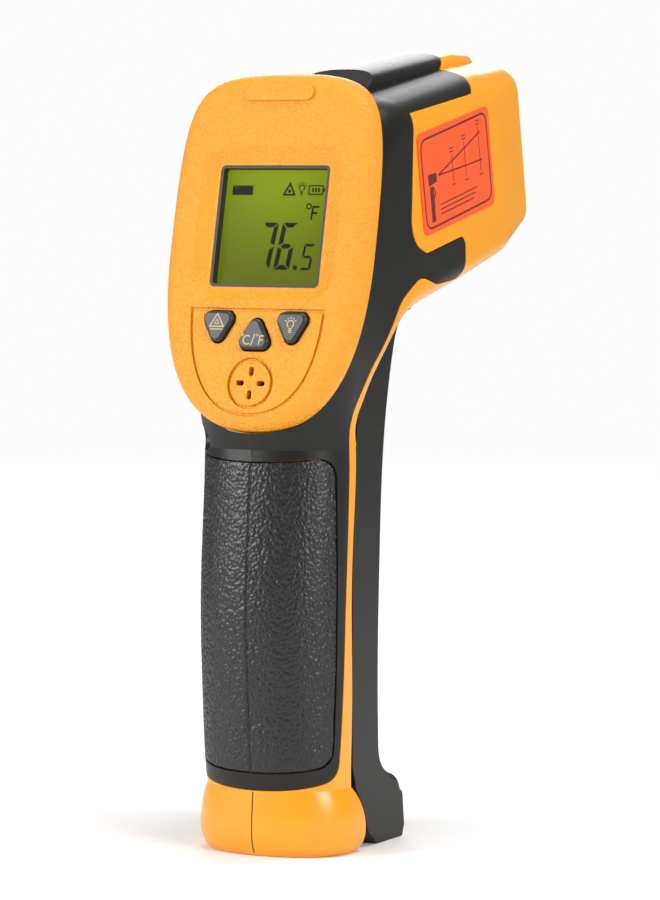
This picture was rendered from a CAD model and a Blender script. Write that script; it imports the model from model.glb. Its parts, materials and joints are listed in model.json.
"""Infrared thermometer: finishes, printing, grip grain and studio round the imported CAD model."""

import json
import math

import bmesh
import bpy
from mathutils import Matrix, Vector, noise
from mathutils.bvhtree import BVHTree


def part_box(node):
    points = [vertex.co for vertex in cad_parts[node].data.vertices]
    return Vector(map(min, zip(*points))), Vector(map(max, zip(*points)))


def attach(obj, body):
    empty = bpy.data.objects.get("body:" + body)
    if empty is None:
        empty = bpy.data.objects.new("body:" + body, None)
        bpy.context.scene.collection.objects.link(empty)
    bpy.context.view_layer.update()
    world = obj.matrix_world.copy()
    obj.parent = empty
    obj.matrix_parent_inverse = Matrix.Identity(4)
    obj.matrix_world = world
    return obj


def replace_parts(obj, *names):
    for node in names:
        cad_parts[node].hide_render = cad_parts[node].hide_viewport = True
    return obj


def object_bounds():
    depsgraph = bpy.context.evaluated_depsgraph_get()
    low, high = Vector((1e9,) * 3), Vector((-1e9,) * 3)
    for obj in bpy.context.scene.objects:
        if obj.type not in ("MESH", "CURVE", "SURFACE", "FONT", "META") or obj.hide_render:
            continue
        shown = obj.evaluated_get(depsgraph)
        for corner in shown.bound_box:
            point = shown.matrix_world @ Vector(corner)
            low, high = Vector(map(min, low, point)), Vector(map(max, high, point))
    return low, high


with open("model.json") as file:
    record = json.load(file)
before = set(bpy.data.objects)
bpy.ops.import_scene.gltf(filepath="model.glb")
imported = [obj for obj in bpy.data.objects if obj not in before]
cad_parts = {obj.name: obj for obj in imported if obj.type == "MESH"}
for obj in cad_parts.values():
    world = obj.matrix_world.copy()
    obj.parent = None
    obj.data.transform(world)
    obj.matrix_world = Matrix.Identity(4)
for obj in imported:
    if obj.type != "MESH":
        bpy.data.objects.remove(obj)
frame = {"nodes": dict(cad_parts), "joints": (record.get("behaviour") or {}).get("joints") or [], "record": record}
CAD_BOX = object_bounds()

MM = 0.001
NODES = frame["nodes"]
SLOT_OF = {part["node"]: part["material_slot"] for part in frame["record"]["subparts"]}
BODY_OF = {node: body for body, nodes in frame["record"]["behaviour"]["bodies"].items() for node in nodes}


def placed(name, data):
    """New object in the scene's collection."""
    thing = bpy.data.objects.new(name, data)
    bpy.context.scene.collection.objects.link(thing)
    return thing


# Directions worked out from the CAD ------------------------------------------------------------------
class Axes:
    """Three directions to measure nodes along: right, up and out."""

    def __init__(self, right, up):
        self.right = right.normalized()
        self.up = up.normalized()
        self.out = self.right.cross(self.up)

    def measure(self, point):
        """A place in the shared frame, measured along these directions."""
        return Vector((point.dot(self.right), point.dot(self.up), point.dot(self.out)))

    def point(self, local):
        """The place in the shared frame that has these measures."""
        return local[0] * self.right + local[1] * self.up + local[2] * self.out

    def box(self, node):
        """Lowest and highest corner of a node along these directions, in metres."""
        places = [self.measure(vertex.co) for vertex in NODES[node].data.vertices]
        low = Vector([min(place[i] for place in places) for i in range(3)])
        high = Vector([max(place[i] for place in places) for i in range(3)])
        return low, high

    def middle(self, node):
        low, high = self.box(node)
        return (low + high) / 2


def middle(node):
    """Middle of a node's box in the shared frame."""
    low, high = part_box(node)
    return (low + high) / 2


ACROSS = Vector((1, 0, 0))
PRESS = next(joint for joint in frame["joints"] if joint["name"] == "units_key_press")
INWARD = Vector(PRESS["axis"])
AIM = (middle("ir_lens") - middle("thermopile")).normalized()
FACE = Axes(ACROSS, ACROSS.cross(INWARD))  # the display side, out towards the user
SIDE = Axes(AIM, ACROSS.cross(AIM))  # the labelled side of the barrel


# Materials -------------------------------------------------------------------------------------------
MIX_FACTOR = 0  # sockets of a Mix node that mixes colours
MIX_LOW = 6
MIX_HIGH = 7
MIX_RESULT = 2
CLOUD_SCALE = 60  # mottling, per metre
WORN_FROM = 0.52  # pointiness where an edge starts to look worn, and where it is worn fully
WORN_FULL = 0.7


def blend_node(nodes, links, factor, low, high):
    """Mix of two colours by a factor socket, where each colour is three channels or a socket."""
    mix = nodes.new("ShaderNodeMix")
    mix.data_type = "RGBA"
    links.new(factor, mix.inputs[MIX_FACTOR])
    for index, colour in ((MIX_LOW, low), (MIX_HIGH, high)):
        if isinstance(colour, bpy.types.NodeSocket):
            links.new(colour, mix.inputs[index])
        else:
            mix.inputs[index].default_value = (*colour, 1)
    return mix.outputs[MIX_RESULT]


def ranged(nodes, links, value, smooth=False, **limits):
    """A value socket mapped from one range to another. Limits are named From_Min, To_Max and so on."""
    span = nodes.new("ShaderNodeMapRange")
    if smooth:
        span.interpolation_type = "SMOOTHSTEP"
    for limit, amount in limits.items():
        span.inputs[limit.replace("_", " ")].default_value = amount
    links.new(value, span.inputs["Value"])
    return span.outputs["Result"]


def moulded(name, colour, roughness, grain=0.5, depth=0.01, mottle=0.06, worn=0.0, **sockets):
    """Moulded surface: grain and depth in millimetres, colour varied by mottle, paler on worn edges."""
    material = bpy.data.materials.new(name)
    material.use_nodes = True
    nodes, links = material.node_tree.nodes, material.node_tree.links
    shader = nodes["Principled BSDF"]
    for socket, value in sockets.items():
        shader.inputs[socket.replace("_", " ")].default_value = value
    places = nodes.new("ShaderNodeTexCoord").outputs["Object"]

    cloud = nodes.new("ShaderNodeTexNoise")
    cloud.inputs["Scale"].default_value = CLOUD_SCALE
    cloud.inputs["Detail"].default_value = 4
    links.new(places, cloud.inputs["Vector"])
    dark = [channel * (1 - mottle) for channel in colour]
    light = [min(1, channel * (1 + mottle)) for channel in colour]
    tint = blend_node(nodes, links, cloud.outputs["Fac"], dark, light)

    if worn:
        pointiness = nodes.new("ShaderNodeNewGeometry").outputs["Pointiness"]
        edge = ranged(nodes, links, pointiness, From_Min=WORN_FROM, From_Max=WORN_FULL, To_Max=worn)
        rubbed = [min(1, channel * 1.6 + 0.02) for channel in colour]
        tint = blend_node(nodes, links, edge, tint, rubbed)
    links.new(tint, shader.inputs["Base Color"])

    sand = nodes.new("ShaderNodeTexNoise")
    sand.inputs["Scale"].default_value = 1 / (grain * MM)
    sand.inputs["Detail"].default_value = 3
    links.new(places, sand.inputs["Vector"])
    gloss = ranged(
        nodes, links, sand.outputs["Fac"], To_Min=roughness * 0.9, To_Max=min(1, roughness * 1.12)
    )
    links.new(gloss, shader.inputs["Roughness"])

    bump = nodes.new("ShaderNodeBump")
    bump.inputs["Strength"].default_value = 1
    bump.inputs["Distance"].default_value = depth * MM
    links.new(sand.outputs["Fac"], bump.inputs["Height"])
    links.new(bump.outputs["Normal"], shader.inputs["Normal"])
    return material


def backlit(name, edge_colour, centre_colour, centre, reach):
    """Display glass lit from behind, brightest at centre and falling off over reach, in metres."""
    material = moulded(name, (0.012, 0.015, 0.0002), 0.4, grain=0.2, depth=0.001, Specular_IOR_Level=0.02)
    nodes, links = material.node_tree.nodes, material.node_tree.links
    places = nodes.new("ShaderNodeTexCoord").outputs["Object"]
    away = nodes.new("ShaderNodeVectorMath")
    away.operation = "DISTANCE"
    away.inputs[1].default_value = centre
    links.new(places, away.inputs[0])
    fall = ranged(nodes, links, away.outputs["Value"], smooth=True, From_Max=reach)
    glow = blend_node(nodes, links, fall, centre_colour, edge_colour)
    shader = nodes["Principled BSDF"]
    links.new(glow, shader.inputs["Emission Color"])
    shader.inputs["Emission Strength"].default_value = 1
    return material


YELLOW = (0.84, 0.325, 0.006)
RUBBER_SHEEN = 0.34

RECIPES = {
    "yellow_case": dict(colour=YELLOW, roughness=0.3, depth=0.004, worn=0.2, Coat_Weight=0.1),
    "yellow_bezel": dict(colour=YELLOW, roughness=0.36, grain=0.6, depth=0.5, mottle=0.05, worn=0.15),
    "black_rubber": dict(
        colour=(0.007, 0.007, 0.006), roughness=0.4, grain=0.25, depth=0.03, worn=0.15,
        Specular_IOR_Level=RUBBER_SHEEN,
    ),
    "grained_rubber": dict(colour=(0.01, 0.01, 0.01), roughness=0.34, grain=0.3, depth=0.05, worn=0.2),
    "clear_window": dict(
        colour=(0.3, 0.32, 0.3), roughness=0.04, depth=0.0, mottle=0.0, Alpha=0.015, Specular_IOR_Level=0.1
    ),
    "frosted_guide": dict(colour=(0.85, 0.87, 0.8), roughness=0.5),
    "contact_rubber": dict(colour=(0.5, 0.25, 0.3), roughness=0.7),
    "black_plastic": dict(colour=(0.016, 0.013, 0.012), roughness=0.5, grain=0.3, depth=0.02, worn=0.2),
    "key_rubber": dict(colour=(0.02, 0.021, 0.024), roughness=0.38, grain=0.15, worn=0.5),
    "switch_plastic": dict(colour=(0.06, 0.06, 0.06), roughness=0.4, grain=0.2),
    "circuit_board": dict(colour=(0.02, 0.16, 0.06), roughness=0.35, grain=1.5, depth=0.02, mottle=0.25),
    "zinc_steel": dict(colour=(0.6, 0.6, 0.57), roughness=0.3, grain=0.4, Metallic=1),
    "battery_can": dict(colour=(0.06, 0.09, 0.2), roughness=0.3, grain=2, mottle=0.15, Metallic=0.6),
    "red_insulation": dict(colour=(0.5, 0.03, 0.02), roughness=0.4),
    "black_insulation": dict(colour=(0.02, 0.02, 0.02), roughness=0.4),
    "door_plastic": dict(
        colour=(0.008, 0.008, 0.007), roughness=0.42, grain=0.3, depth=0.03, worn=0.15,
        Specular_IOR_Level=RUBBER_SHEEN,
    ),
    "steel": dict(colour=(0.62, 0.62, 0.62), roughness=0.25, grain=0.3, Metallic=1),
    "lens_material": dict(colour=(0.3, 0.28, 0.26), roughness=0.08, grain=1, depth=0.0, Metallic=0.7),
    "brass_tube": dict(colour=(0.7, 0.5, 0.2), roughness=0.25, grain=0.4, Metallic=1),
    "label_film": dict(colour=(0.85, 0.1, 0.018), roughness=0.32, grain=0.6, depth=0.004, mottle=0.03),
}
FINISHES = {name: moulded(name, **recipe) for name, recipe in RECIPES.items()}

# the display is brightest at the middle of its upper edge
LCD_LOW, LCD_HIGH = FACE.box("lcd_panel")
LCD_MIDDLE = (LCD_LOW + LCD_HIGH) / 2
BRIGHTEST = FACE.point((LCD_MIDDLE.x, LCD_HIGH.y, LCD_MIDDLE.z))
FINISHES["lcd_glass"] = backlit(
    "lcd_glass", (0.115, 0.142, 0.0006), (0.24, 0.33, 0.001), BRIGHTEST, reach=0.026
)

LCD_INK = moulded("lcd_ink", (0.006, 0.01, 0.002), 0.6, grain=0.2, depth=0.002, Specular_IOR_Level=0.05)
KEY_INK = moulded("key_ink", (0.5, 0.4, 0.2), 0.5, grain=0.1, depth=0.004, mottle=0.15)
LABEL_INK = moulded("label_ink", (0.14, 0.012, 0.01), 0.4, grain=0.2, depth=0.003, mottle=0.15)
SEAM_SHADOW = moulded("seam_shadow", (0.03, 0.012, 0.006), 0.7, grain=0.2)

for node, piece in NODES.items():
    for material_slot in piece.material_slots:
        material_slot.material = FINISHES[SLOT_OF[node]]


# Printing, in millimetres ----------------------------------------------------------------------------
INK = 0.04  # thickness of a printed mark
SLANT = 0.13  # how far a digit leans for each unit of its height
SHARPEST_MITRE = 0.4  # a ribbon's corner is never longer than its width over this


def arc(centre, radius, start=0, end=360, steps=24):
    """Points on an arc, angles in degrees."""
    angles = [math.radians(start + (end - start) * i / steps) for i in range(steps + 1)]
    return [(centre[0] + radius * math.cos(a), centre[1] + radius * math.sin(a)) for a in angles]


def ring(centre, radius, steps):
    """Points round a circle, with none twice."""
    return arc(centre, radius, steps=steps)[:-1]


def rounded(left, low, right, high, radius):
    """Closed rounded rectangle."""
    corners = (
        ((right - radius, high - radius), 0), ((left + radius, high - radius), 90),
        ((left + radius, low + radius), 180), ((right - radius, low + radius), 270),
    )
    return [point for centre, start in corners for point in arc(centre, radius, start, start + 90, 6)]


def divided(points, closed, step):
    """A line with extra points so that no stretch is longer than step."""
    ends = points[1:] + points[:1] if closed else points[1:]
    result = []
    for start, end in zip(points, ends):
        start, end = Vector(start), Vector(end)
        pieces = max(1, math.ceil((end - start).length / step))
        result += [start.lerp(end, i / pieces) for i in range(pieces)]
    if not closed:
        result.append(Vector(points[-1]))
    return result


def sideways(points, closed):
    """Unit sideways vectors, lengthened at corners so that a ribbon keeps its width."""
    result = []
    for i, point in enumerate(points):
        runs = []
        if closed or i > 0:
            runs.append(point - points[i - 1])
        if closed or i < len(points) - 1:
            runs.append(points[(i + 1) % len(points)] - point)
        normals = [Vector((-run.y, run.x)).normalized() for run in runs]
        mitre = sum(normals, Vector((0, 0))).normalized()
        result.append(mitre / max(SHARPEST_MITRE, mitre.dot(normals[0])))
    return result


class Printing:
    """Thin raised marks in one mesh. place(x, y, lift) puts a drawing point on the object."""

    def __init__(self, name, place, step=50):
        self.name = name
        self.place = place
        self.step = step
        self.mesh = bmesh.new()

    def pair(self, point):
        """Two vertices at a drawing point: under the ink and on top of it."""
        x, y = point
        return self.mesh.verts.new(self.place(x, y, 0)), self.mesh.verts.new(self.place(x, y, INK))

    def fill(self, outline):
        """Solid area inside an outline."""
        pairs = [self.pair(point) for point in outline]
        self.mesh.faces.new([high for _, high in pairs])
        self.mesh.faces.new([low for low, _ in reversed(pairs)])
        for (low_a, high_a), (low_b, high_b) in zip(pairs, pairs[1:] + pairs[:1]):
            self.mesh.faces.new((low_a, low_b, high_b, high_a))

    def line(self, points, width, closed=False):
        """Ribbon of even width along a line."""
        points = divided(points, closed, self.step)
        offsets = [side * width / 2 for side in sideways(points, closed)]
        left = [self.pair(point + offset) for point, offset in zip(points, offsets)]
        right = [self.pair(point - offset) for point, offset in zip(points, offsets)]
        rows = list(zip(left, right))
        following = rows[1:] + rows[:1] if closed else rows[1:]
        for (a, b), (c, d) in zip(rows, following):
            self.mesh.faces.new((a[1], b[1], d[1], c[1]))
            self.mesh.faces.new((a[0], c[0], d[0], b[0]))
            self.mesh.faces.new((a[0], a[1], c[1], c[0]))
            self.mesh.faces.new((b[0], d[0], d[1], b[1]))
        if not closed:
            (a, b), (c, d) = rows[0], rows[-1]
            self.mesh.faces.new((a[0], b[0], b[1], a[1]))
            self.mesh.faces.new((c[0], c[1], d[1], d[0]))

    def finish(self, material, body):
        """The marks as a piece that rides on a body."""
        bmesh.ops.recalc_face_normals(self.mesh, faces=self.mesh.faces)
        data = bpy.data.meshes.new(self.name)
        self.mesh.to_mesh(data)
        data.materials.append(material)
        piece = placed(self.name, data)
        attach(piece, body)


def on_face_of(node, sink=0.0):
    """Placing function whose drawing origin is the middle of a node's outer face on the display side."""
    centre = FACE.middle(node)
    top = FACE.box(node)[1].z

    def place(x, y, lift):
        return FACE.point((centre.x + x * MM, centre.y + y * MM, top + (lift - sink) * MM))

    return place


SEGMENTS = {"5": "afgcd", "6": "afgecd", "7": "abc"}  # by the usual letters, clockwise from the top


def digit(printing, character, x, y, width, height, bar):
    """Slanted seven-segment digit whose lower left corner is at (x, y)."""
    gap = bar * 0.16
    half = height / 2
    flat = [
        (gap, height), (width - gap, height), (width - bar - gap, height - bar), (bar + gap, height - bar)
    ]
    tall = [(0, height - gap), (bar, height - bar - gap), (bar, half + bar / 2 + gap), (0, half + gap)]
    shapes = {
        "a": flat,
        "d": [(px, height - py) for px, py in flat],
        "f": tall,
        "b": [(width - px, py) for px, py in tall],
        "e": [(px, height - py) for px, py in tall],
        "c": [(width - px, height - py) for px, py in tall],
        "g": [
            (bar / 2 + gap, half), (bar + gap, half + bar / 2), (width - bar - gap, half + bar / 2),
            (width - bar / 2 - gap, half), (width - bar - gap, half - bar / 2), (bar + gap, half - bar / 2),
        ],
    }
    for name in SEGMENTS[character]:
        printing.fill([(x + px + SLANT * py, y + py) for px, py in shapes[name]])


def triangle(x, y, half, height):
    """Upright triangle, with the middle of its foot at (x, y)."""
    return [(x - half, y), (x + half, y), (x, y + height)]


def bulb(printing, x, y, size, width):
    """Light bulb with rays. The foot of its cap is at (x, y)."""
    glass = Vector((x, y + 1.15 * size))
    cap = 0.2 * size
    printing.line(arc(glass, 0.42 * size, -60, 240, 16), width)
    for height in (0.2, 0.42, 0.62):
        printing.line([(x - cap, y + height * size), (x + cap, y + height * size)], width)
    for angle in range(30, 180, 30):
        way = Vector((math.cos(math.radians(angle)), math.sin(math.radians(angle))))
        printing.line([glass + 0.62 * size * way, glass + 0.85 * size * way], width)


def letter_c(printing, x, y, size, width):
    """Unit letter C. Its middle is above x, and its foot is at y."""
    printing.line(arc((x, y + size / 2), size / 2, 50, 310, 14), width)


def letter_f(printing, x, y, size, width):
    """Unit letter F, leaning a little. Its foot is at (x, y)."""
    printing.line([(x, y), (x + 0.1 * size, y + size), (x + 0.62 * size, y + size)], width)
    printing.line([(x + 0.08 * size, y + 0.52 * size), (x + 0.5 * size, y + 0.52 * size)], width)


def display_marks():
    """A reading to one decimal place with its unit, under a row of status symbols."""
    marks = Printing("lcd_marks", on_face_of("lcd_panel"))
    foot = -8.3
    for character, left in (("7", -3.7), ("6", 0.7)):
        digit(marks, character, left, foot, width=3.5, height=9.4, bar=0.95)
    marks.fill(rounded(5.1, foot, 6.0, foot + 0.9, 0.2))
    digit(marks, "5", 6.5, foot, width=2.4, height=5.2, bar=0.5)
    # unit
    marks.line(ring((7.3, 4.4), 0.5, 16), 0.26, closed=True)
    letter_f(marks, 8.0, 1.7, 2.6, 0.4)
    # status row: held reading, laser, backlight, battery
    marks.fill(rounded(-10.2, 6.6, -5.6, 8.5, 0.2))
    marks.line(triangle(2.6, 6.7, 1.2, 2.2), 0.36, closed=True)
    marks.fill(ring((2.6, 7.4), 0.35, 12))
    bulb(marks, 5.3, 6.5, 1.35, 0.2)
    marks.line(rounded(6.9, 6.8, 10.0, 8.5, 0.15), 0.24, closed=True)
    marks.fill([(10.15, 7.3), (10.45, 7.3), (10.45, 8.0), (10.15, 8.0)])
    for bar in range(3):
        left = 7.6 + 0.65 * bar
        marks.fill([(left, 7.25), (left + 0.4, 7.25), (left + 0.4, 8.05), (left, 8.05)])
    marks.finish(LCD_INK, "root")


def key_marks():
    """A symbol on each key: laser, units and backlight."""
    line = 0.24
    laser = Printing("laser_key_mark", on_face_of("laser_key", sink=0.01))
    laser.line(triangle(0, -0.2, 1.55, 2.5), line, closed=True)
    laser.line(triangle(0, 0.35, 0.5, 0.9), line * 0.7, closed=True)
    laser.line([(-1.4, -0.75), (1.4, -0.75)], line)
    laser.finish(KEY_INK, BODY_OF["laser_key"])

    units = Printing("units_key_mark", on_face_of("units_key", sink=0.01))
    units.line(ring((-2.35, -0.15), 0.2, 10), line * 0.6, closed=True)
    letter_c(units, -1.25, -2.0, 1.7, line)
    units.line([(-0.35, -2.2), (0.35, 0)], line)
    units.line(ring((0.95, -0.15), 0.2, 10), line * 0.6, closed=True)
    letter_f(units, 1.4, -2.0, 1.7, line)
    units.finish(KEY_INK, BODY_OF["units_key"])

    light = Printing("backlight_key_mark", on_face_of("backlight_key", sink=0.01))
    bulb(light, 0, -1.4, 1.7, line)
    light.finish(KEY_INK, BODY_OF["backlight_key"])


def label_marks():
    """Field-of-view diagram: an instrument, its spreading view and three distances."""
    tree = BVHTree.FromObject(NODES["range_label"], bpy.context.evaluated_depsgraph_get())
    low, high = SIDE.box("range_label")
    centre = (low + high) / 2
    half_length = (high.x - low.x) / 2 / MM
    half_height = (high.y - low.y) / 2 / MM
    clear_of_label = high.z + 10 * MM
    sink = 0.005

    def place(u, v, lift):
        start = SIDE.point((centre.x + u * MM, centre.y + v * MM, clear_of_label))
        hit = tree.ray_cast(start, -SIDE.out)[0]
        return hit + SIDE.out * (lift - sink) * MM

    marks = Printing("label_marks", place, step=1.2)
    inset = 1.5
    right, top = half_length - inset, half_height - inset
    marks.line(rounded(-right, -top, right, top, 2.2), 0.4, closed=True)
    # instrument, seen from the side
    x, y = -half_length + 5.2, 0.4
    marks.fill([(x - 1.4, y - 1.0), (x + 2.4, y - 0.7), (x + 2.4, y + 1.1), (x - 1.4, y + 1.3)])
    marks.fill([(x - 1.1, y - 8.4), (x + 0.5, y - 8.4), (x + 0.7, y - 1.3), (x - 1.0, y - 1.3)])
    marks.line([(x + 0.7, y - 1.6), (x + 1.5, y - 2.6), (x + 0.7, y - 3.8)], 0.3)
    # view cone and distance ticks
    source = (x + 3.2, y + 0.4)
    end = half_length - 5
    upper = 5.6
    lower = -0.2
    for height in (upper, lower):
        marks.line([source, (end, height)], 0.28)
    for share in (0.33, 0.62, 0.96):
        tick, top = Vector(source).lerp(Vector((end, upper)), share)
        foot = Vector(source).lerp(Vector((end, lower)), share).y
        marks.line([(tick, foot - 2.2), (tick, top + 1.3)], 0.16)
        for offset in (0, 0.7):
            marks.line([(tick - 0.9, top + 1.9 + offset), (tick + 0.9, top + 1.9 + offset)], 0.2)
        marks.line([(tick - 0.7, foot - 2.9), (tick + 0.7, foot - 2.9)], 0.2)
    # plain rules under the diagram
    for row in range(3):
        marks.line([(x + 3.2, -5.2 - 0.95 * row), (end - 3.5 - row, -5.2 - 0.95 * row)], 0.22)
    marks.finish(LABEL_INK, "root")


# Grip grain, in millimetres --------------------------------------------------------------------------
GRAIN_CELL = 0.85
GRAIN_DEPTH = 0.19
CREASE_WIDTH = 0.32  # of a cell
WANDER = 0.35  # how far the cells are pushed about
UNEVENNESS = 0.25  # of the depth
SEAM_WIDTH = 0.3
SEAM_DEPTH = 0.35
VOXEL = 0.22
GRIP_AXIS = 4  # how far ahead of an insert its outward directions spread from


def leather(place):
    """Height of the grain at a place, from about -1 in the creases to about 0."""
    warped = place + WANDER * noise.noise_vector(place * 0.8)
    distances, _ = noise.voronoi(warped / GRAIN_CELL)
    pebble = min(1, (distances[1] - distances[0]) / CREASE_WIDTH)
    rounded_off = pebble * (2 - pebble)
    return rounded_off - 1 + UNEVENNESS * noise.noise(place * 2.2)


def grained_insert(node):
    """Copy of a grip insert with leather grain in its outer side and an eased edge at the seam."""
    draft = placed(node + "_draft", NODES[node].data.copy())
    remesh = draft.modifiers.new("even", "REMESH")
    remesh.mode = "VOXEL"
    remesh.voxel_size = VOXEL * MM
    evaluated = draft.evaluated_get(bpy.context.evaluated_depsgraph_get())
    data = bpy.data.meshes.new_from_object(evaluated)
    bpy.data.objects.remove(draft)

    axis_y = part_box(node)[1].y + GRIP_AXIS * MM
    normals = [vertex.normal.copy() for vertex in data.vertices]
    for vertex, normal in zip(data.vertices, normals):
        outward = Vector((vertex.co.x, vertex.co.y - axis_y, 0)).normalized()
        facing = max(0, normal.dot(outward)) ** 2
        depth = GRAIN_DEPTH * leather(vertex.co / MM)
        seam = max(0, 1 - abs(vertex.co.x) / MM / SEAM_WIDTH)
        vertex.co += outward * facing * (depth - SEAM_DEPTH * seam) * MM
    data.materials.clear()
    data.materials.append(FINISHES[SLOT_OF[node]])
    for polygon in data.polygons:
        polygon.use_smooth = True
    piece = placed(node + "_grain", data)
    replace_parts(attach(piece, BODY_OF[node]), node)


# Seam between the case halves ------------------------------------------------------------------------
SEAM_RADIUS = 0.11
OFF_SEAM = 0.02  # a ray right on the seam could pass between the halves


def seam_line(name, nodes, start, end, step=1.0):
    """Dark line where the halves meet down the back, along the surface between two heights."""
    graph = bpy.context.evaluated_depsgraph_get()
    trees = [BVHTree.FromObject(NODES[node], graph) for node in nodes]
    behind = CAD_BOX[0][1] - 50 * MM
    points = []
    for i in range(int((end - start) / step) + 1):
        origin = Vector((OFF_SEAM * MM, behind, (start + i * step) * MM))
        hits = [tree.ray_cast(origin, Vector((0, 1, 0)))[0] for tree in trees]
        hits = [hit for hit in hits if hit]
        if hits:
            nearest = min(hits, key=lambda hit: hit.y)
            points.append(Vector((0, nearest.y, nearest.z)))
    curve = bpy.data.curves.new(name, "CURVE")
    curve.dimensions = "3D"
    curve.bevel_depth = SEAM_RADIUS * MM
    curve.bevel_resolution = 2
    spline = curve.splines.new("POLY")
    spline.points.add(len(points) - 1)
    for spline_point, point in zip(spline.points, points):
        spline_point.co = (*point, 1)
    curve.materials.append(SEAM_SHADOW)
    piece = placed(name, curve)
    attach(piece, "root")


# Studio, in metres -----------------------------------------------------------------------------------
FLOOR_REACH = 1.2
FLOOR_SOLID = 0.12
FLOOR_DROP = 0.1 * MM  # keeps the floor off the foot of the object
AMBIENT = 0.26  # strength of the backdrop as a light
BACKDROP = 0.98  # strength of the backdrop as it is seen


def floor_material(solid, gone):
    """Pale matt floor that fades out between two distances from the object."""
    material = moulded("studio_floor", (0.95, 0.95, 0.95), 0.9, grain=3, depth=0.0, mottle=0.0)
    nodes, links = material.node_tree.nodes, material.node_tree.links
    length = nodes.new("ShaderNodeVectorMath")
    length.operation = "LENGTH"
    links.new(nodes.new("ShaderNodeTexCoord").outputs["Object"], length.inputs[0])
    fade = ranged(
        nodes, links, length.outputs["Value"], smooth=True, From_Min=solid, From_Max=gone, To_Min=1, To_Max=0
    )
    links.new(fade, nodes["Principled BSDF"].inputs["Alpha"])
    return material


def lay_floor():
    """Square floor under the object."""
    corners = [(x * FLOOR_REACH, y * FLOOR_REACH, 0) for x, y in ((-1, -1), (1, -1), (1, 1), (-1, 1))]
    floor_mesh = bpy.data.meshes.new("floor")
    floor_mesh.from_pydata(corners, [], [(0, 1, 2, 3)])
    floor_mesh.materials.append(floor_material(FLOOR_SOLID, FLOOR_REACH))
    floor = placed("floor", floor_mesh)
    floor.location.z = -FLOOR_DROP


def light_world():
    """White backdrop that lights the object at a lower level than it is seen at."""
    world = bpy.data.worlds.new("studio")
    world.use_nodes = True
    nodes, links = world.node_tree.nodes, world.node_tree.links
    seen = nodes.new("ShaderNodeLightPath").outputs["Is Camera Ray"]
    level = ranged(nodes, links, seen, To_Min=AMBIENT, To_Max=BACKDROP)
    links.new(level, nodes["Background"].inputs["Strength"])
    nodes["Background"].inputs["Color"].default_value = (1, 1, 1, 1)
    bpy.context.scene.world = world


def hang_softboxes():
    """Four square lamps that face the object."""
    # name, place, side, power in watts
    lamps = (
        ("left_softbox", (-0.75, -0.8, 0.45), 0.45, 10),
        ("right_softbox", (0.95, -0.3, 0.45), 0.45, 7),
        ("top_softbox", (0.1, 0.1, 1.0), 0.5, 6),
        ("rear_softbox", (-0.5, 0.9, 0.5), 0.5, 4),
    )
    target = Vector((0, 0.02, 0.09))
    for name, place, size, power in lamps:
        light = bpy.data.lights.new(name, "AREA")
        light.size = size
        light.energy = power
        lamp = placed(name, light)
        lamp.location = place
        lamp.rotation_euler = (target - lamp.location).to_track_quat("-Z", "Y").to_euler()


def camera():
    """Seen from behind and a little above, from the user's right."""
    azimuth = math.radians(28)
    elevation = math.radians(4.2)
    distance = 0.809
    target = Vector((0, 0.0205, 0.0779))
    away = Vector((
        math.sin(azimuth) * math.cos(elevation), -math.cos(azimuth) * math.cos(elevation), math.sin(elevation)
    ))
    lens = bpy.data.cameras.new("camera")
    lens.lens = 160
    lens.sensor_width = 36
    view = placed("camera", lens)
    view.location = target + distance * away
    view.rotation_euler = (-away).to_track_quat("-Z", "Y").to_euler()
    bpy.context.scene.camera = view


camera()
lay_floor()
light_world()
hang_softboxes()
bpy.context.scene.view_settings.view_transform = "Standard"
display_marks()
key_marks()
label_marks()
for side in ("right", "left"):
    grained_insert(f"grip_insert_{side}")
seam_line("base_seam", ("housing_right",), 0.6, 14.6)
seam_line("neck_seam", ("overmould_right", "housing_right"), 79, 87)
